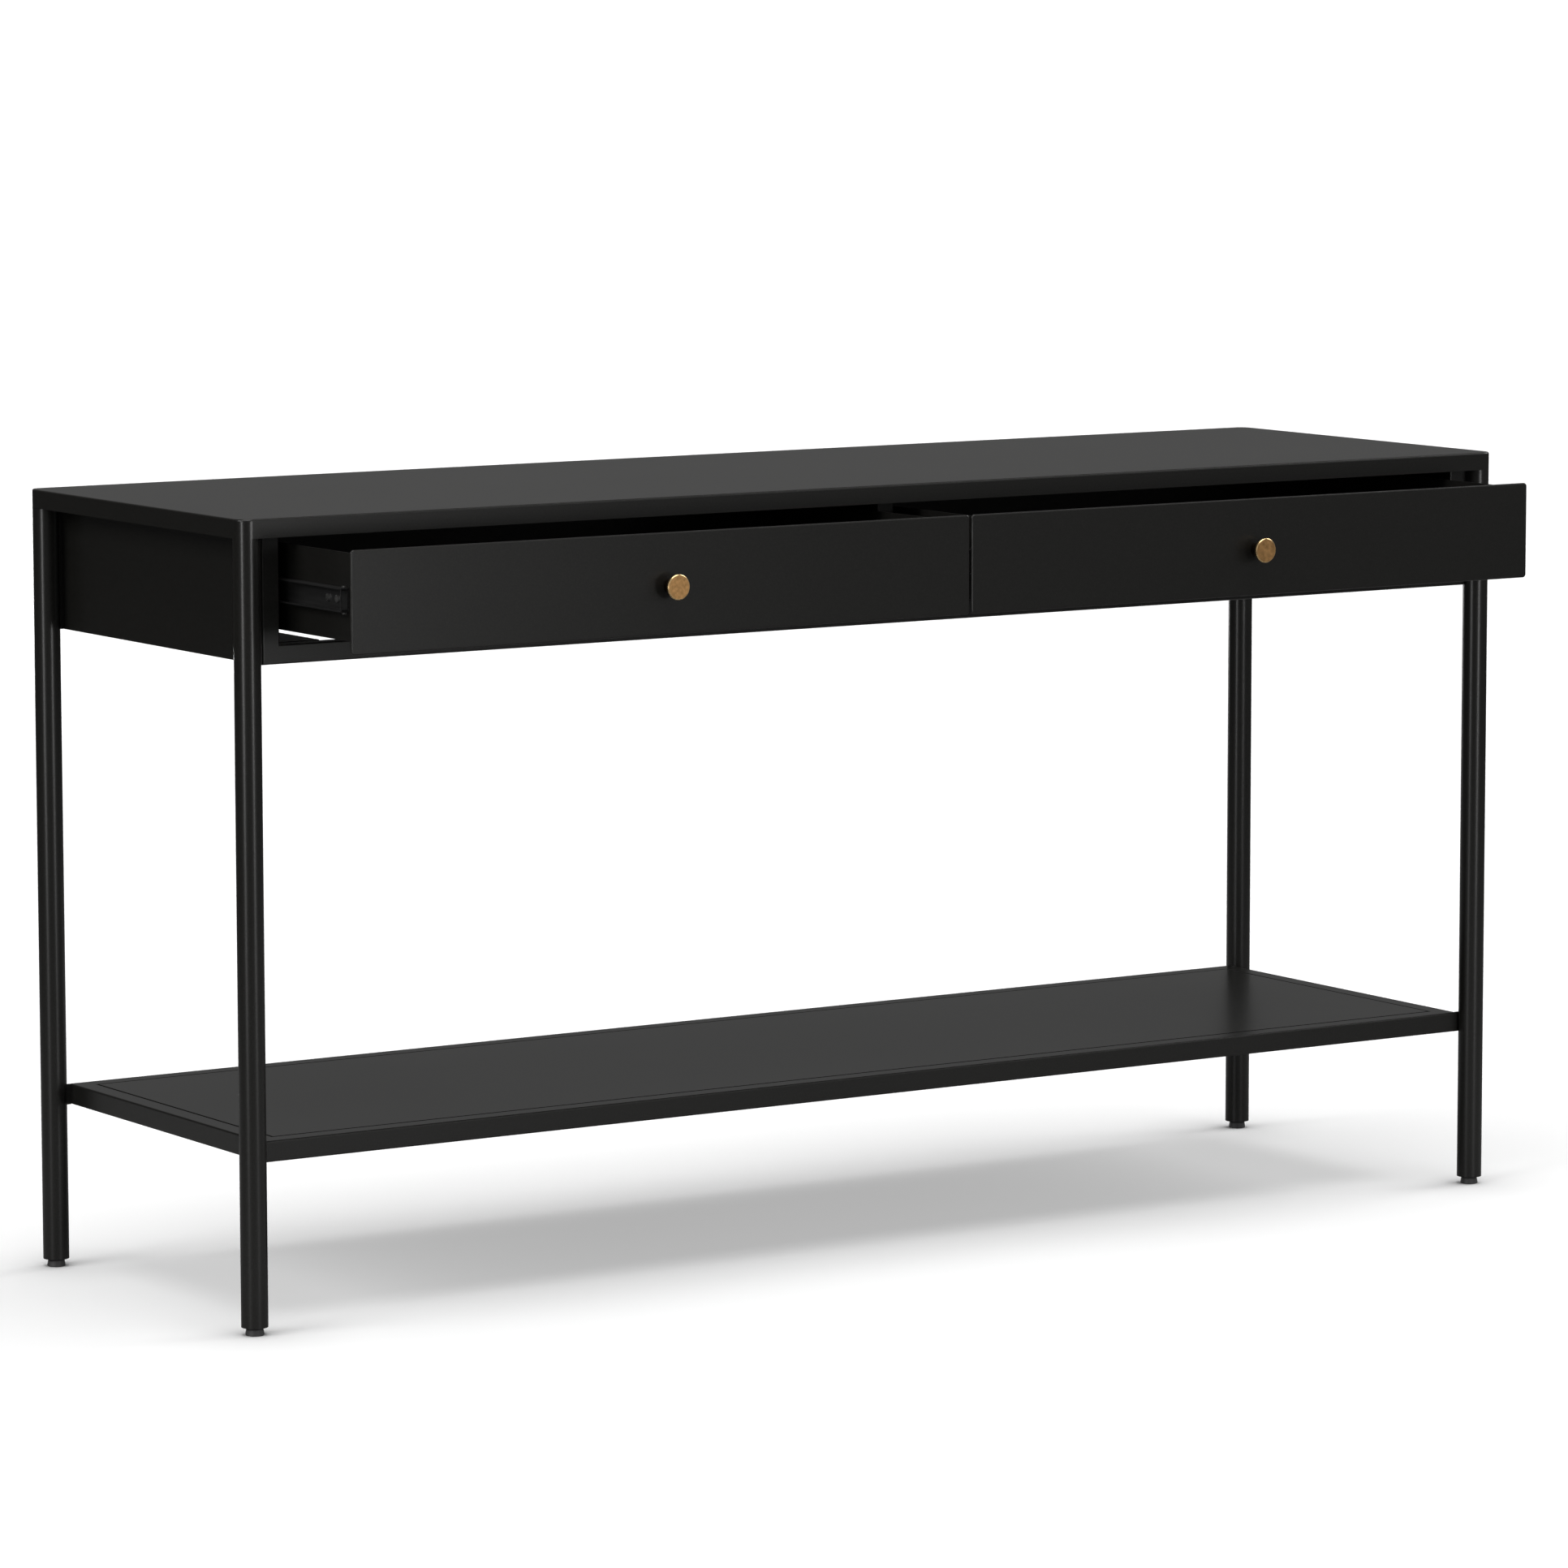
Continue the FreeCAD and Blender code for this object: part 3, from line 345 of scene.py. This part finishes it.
def stop_boxes(low, high, outward):
    """Bottom, top, left and right of a stop. Outward is -1 where the member opens to -X, or 1."""
    margins = (OPEN_SIDE_MARGIN, WEB_MARGIN) if outward < 0 else (WEB_MARGIN, OPEN_SIDE_MARGIN)
    x0, x1 = low.x + margins[0], high.x - margins[1]
    y0 = low.y + STOP_SETBACK
    y1 = y0 + STOP_DEPTH
    z0, z1 = low.z + FLANGE_MARGIN, high.z - FLANGE_MARGIN
    return [
        ((x0, y0, z0), (x1, y1, z0 + STOP_SHEET)),
        ((x0, y0, z1 - STOP_SHEET), (x1, y1, z1)),
        ((x0, y0, z0 + STOP_SHEET), (x0 + STOP_SHEET, y1, z1 - STOP_SHEET)),
        ((x1 - STOP_SHEET, y0, z0 + STOP_SHEET), (x1, y1, z1 - STOP_SHEET)),
    ]


def lug_boxes(low, high):
    """A lug on top of a slide member and one under it."""
    middle = (low.x + high.x) / 2
    x0, x1 = middle - LUG_HALF_WIDTH, middle + LUG_HALF_WIDTH
    y0 = low.y + STOP_SETBACK
    return [
        ((x0, y0, z), (x1, y0 + LUG_LENGTH, z + LUG_RISE))
        for z in (high.z, low.z - LUG_RISE)
    ]


def make_slide_ends(materials):
    """The folded stop and the two lugs at the front end of each moving slide member."""
    for hand, side in SIDES.items():
        for slide, outward in (("outer_slide", side), ("inner_slide", -side)):
            low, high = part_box(f"{hand}_drawer_{slide}_drawer_member")
            pieces = (
                ("stop", stop_boxes(low, high, outward), "black_slide_steel", STOP_EDGE_BREAK),
                ("lugs", lug_boxes(low, high), "zinc_steel", LUG_EDGE_BREAK),
            )
            for kind, boxes, slot, edge_break in pieces:
                piece = boxes_object(f"{hand}_{slide}_{kind}", boxes, materials[slot], edge_break)
                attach(piece, f"{hand}_drawer")


# ---------------------------------------------------------------- stage


def floor_material():
    """A pale floor: bright where it is looked at, and dimmer in what it reflects on the table."""
    material, nodes, place = new_material("pale_floor")
    tone = nodes.ramp(nodes.noise(place, 1.5), [(0.0, 0.71), (1.0, 0.73)])
    pale = nodes.add("ShaderNodeBsdfDiffuse", {"Color": tone})
    openness = nodes.add("ShaderNodeAmbientOcclusion", {"Distance": CONTACT_REACH}, samples=8)
    shade = nodes.maths("POWER", openness.outputs["AO"], 3.0)
    strength = nodes.maths("MULTIPLY", shade, FLOOR_GLOW)
    glowing = nodes.add("ShaderNodeEmission", {"Color": as_colour(1.0), "Strength": strength})
    seen = nodes.add("ShaderNodeAddShader", {0: pale.outputs[0], 1: glowing.outputs[0]})
    # In what the table reflects, the floor is painted brighter near the table and darker far off: a
    # painted pool of light.
    from_middle = nodes.add("ShaderNodeVectorMath", {0: place}, operation="LENGTH").outputs["Value"]
    painted_light_pool = nodes.span(from_middle, 0.26, 0.03, 1.2, 3.4)
    reflected = nodes.add("ShaderNodeBsdfDiffuse", {"Color": painted_light_pool})
    looked_at = nodes.add("ShaderNodeLightPath").outputs["Is Camera Ray"]
    links = {0: looked_at, 1: reflected.outputs[0], 2: seen.outputs[0]}
    shader = nodes.add("ShaderNodeMixShader", links)
    nodes.add("ShaderNodeOutputMaterial", {"Surface": shader.outputs[0]})
    return material


def make_floor():
    """A very large disc."""
    turns = [2 * math.pi * i / FLOOR_SIDES for i in range(FLOOR_SIDES)]
    rim = [(FLOOR_RADIUS * math.cos(turn), FLOOR_RADIUS * math.sin(turn), 0.0) for turn in turns]
    mesh = bpy.data.meshes.new("studio_floor")
    mesh.from_pydata(rim, [], [tuple(range(FLOOR_SIDES))])
    floor = bpy.data.objects.new("studio_floor", mesh)
    bpy.context.scene.collection.objects.link(floor)
    floor.data.materials.append(floor_material())


def soft_patch(nodes, way, azimuth, rise, spread, brightness):
    """A soft patch of the surroundings. Azimuth 0 is in front of the table."""
    turn, lift = math.radians(azimuth), math.radians(rise)
    middle = (math.sin(turn) * math.cos(lift), -math.cos(turn) * math.cos(lift), math.sin(lift))
    near = nodes.add("ShaderNodeVectorMath", {0: way, 1: middle}, operation="DOT_PRODUCT")
    patch = nodes.add("ShaderNodeMapRange", {
        "Value": near.outputs["Value"],
        "From Min": math.cos(math.radians(spread)),
        "From Max": 1.0,
        "To Max": brightness,
    }, interpolation_type="SMOOTHSTEP")
    return patch.outputs["Result"]


def make_world():
    """Soft studio surroundings: white to the camera, dim with a few soft patches to the table."""
    world = bpy.data.worlds.new("studio")
    bpy.context.scene.world = world
    world.use_nodes = True
    nodes = Nodes(world.node_tree)
    way = nodes.add("ShaderNodeTexCoord").outputs["Generated"]
    grey = SURROUNDINGS_GREY
    for patch in SURROUNDINGS:
        grey = nodes.maths("ADD", soft_patch(nodes, way, *patch), grey)
    looked_at = nodes.add("ShaderNodeLightPath").outputs["Is Camera Ray"]
    # Inputs 2 and 3 of this node are the numbers that it mixes.
    strength = nodes.add("ShaderNodeMix", {0: looked_at, 2: grey, 3: BACKDROP_WHITE}).outputs[0]
    background = nodes.add("ShaderNodeBackground", {"Color": as_colour(1.0), "Strength": strength})
    nodes.add("ShaderNodeOutputWorld", {"Surface": background.outputs[0]})


def add_softbox(name, azimuth, distance):
    """A soft light that stands on the floor and faces the table. Azimuth 0 is in front of it."""
    light = bpy.data.lights.new(name, "AREA")
    light.shape = "RECTANGLE"
    light.size = SOFTBOX_WIDTH
    light.size_y = SOFTBOX_HEIGHT
    light.energy = SOFTBOX_WATTS
    softbox = bpy.data.objects.new(name, light)
    turn = math.radians(azimuth)
    away = Vector((math.sin(turn), -math.cos(turn), 0)) * distance
    softbox.location = TABLE_MIDDLE + away + Vector((0, 0, SOFTBOX_HEIGHT / 2))
    softbox.rotation_euler = (-away).to_track_quat("-Z", "Y").to_euler()
    softbox.visible_camera = False
    bpy.context.scene.collection.objects.link(softbox)


def add_distant(name, lean_front, lean_right, spread, energy):
    """A very distant soft light, leaned from straight overhead. Its angles are in degrees."""
    light = bpy.data.lights.new(name, "SUN")
    light.energy = energy
    light.angle = math.radians(spread)
    lamp = bpy.data.objects.new(name, light)
    lamp.rotation_euler = (math.radians(lean_front), math.radians(lean_right), 0)
    bpy.context.scene.collection.objects.link(lamp)


def make_lights():
    add_distant("overhead", lean_front=10, lean_right=0, spread=50, energy=1.75)
    add_distant("ceiling_left", lean_front=2, lean_right=-58, spread=34, energy=1.25)
    add_distant("ceiling_right", lean_front=2, lean_right=58, spread=34, energy=1.10)
    add_softbox("softbox_left", azimuth=-66, distance=6.0)
    add_softbox("softbox_front", azimuth=8, distance=5.5)
    add_softbox("softbox_back", azimuth=175, distance=6.0)


def make_camera():
    data = bpy.data.cameras.new("camera")
    data.lens = CAMERA_LENS
    data.sensor_width = SENSOR_WIDTH
    data.clip_start = 0.1
    data.clip_end = 1000.0
    camera = bpy.data.objects.new("camera", data)
    camera.location = TABLE_MIDDLE + CAMERA_OFFSET
    turn = Euler((math.pi / 2 - CAMERA_DIP, 0, CAMERA_TURN)).to_matrix()
    roll = Matrix.Rotation(CAMERA_ROLL, 3, "Z")
    camera.rotation_euler = (turn @ roll).to_euler()
    bpy.context.scene.collection.objects.link(camera)
    bpy.context.scene.camera = camera


make_camera()
make_world()
make_lights()
make_floor()
soften_edges()
slot_materials = apply_materials()
make_slide_ends(slot_materials)
bpy.context.scene.view_settings.view_transform = "Standard"
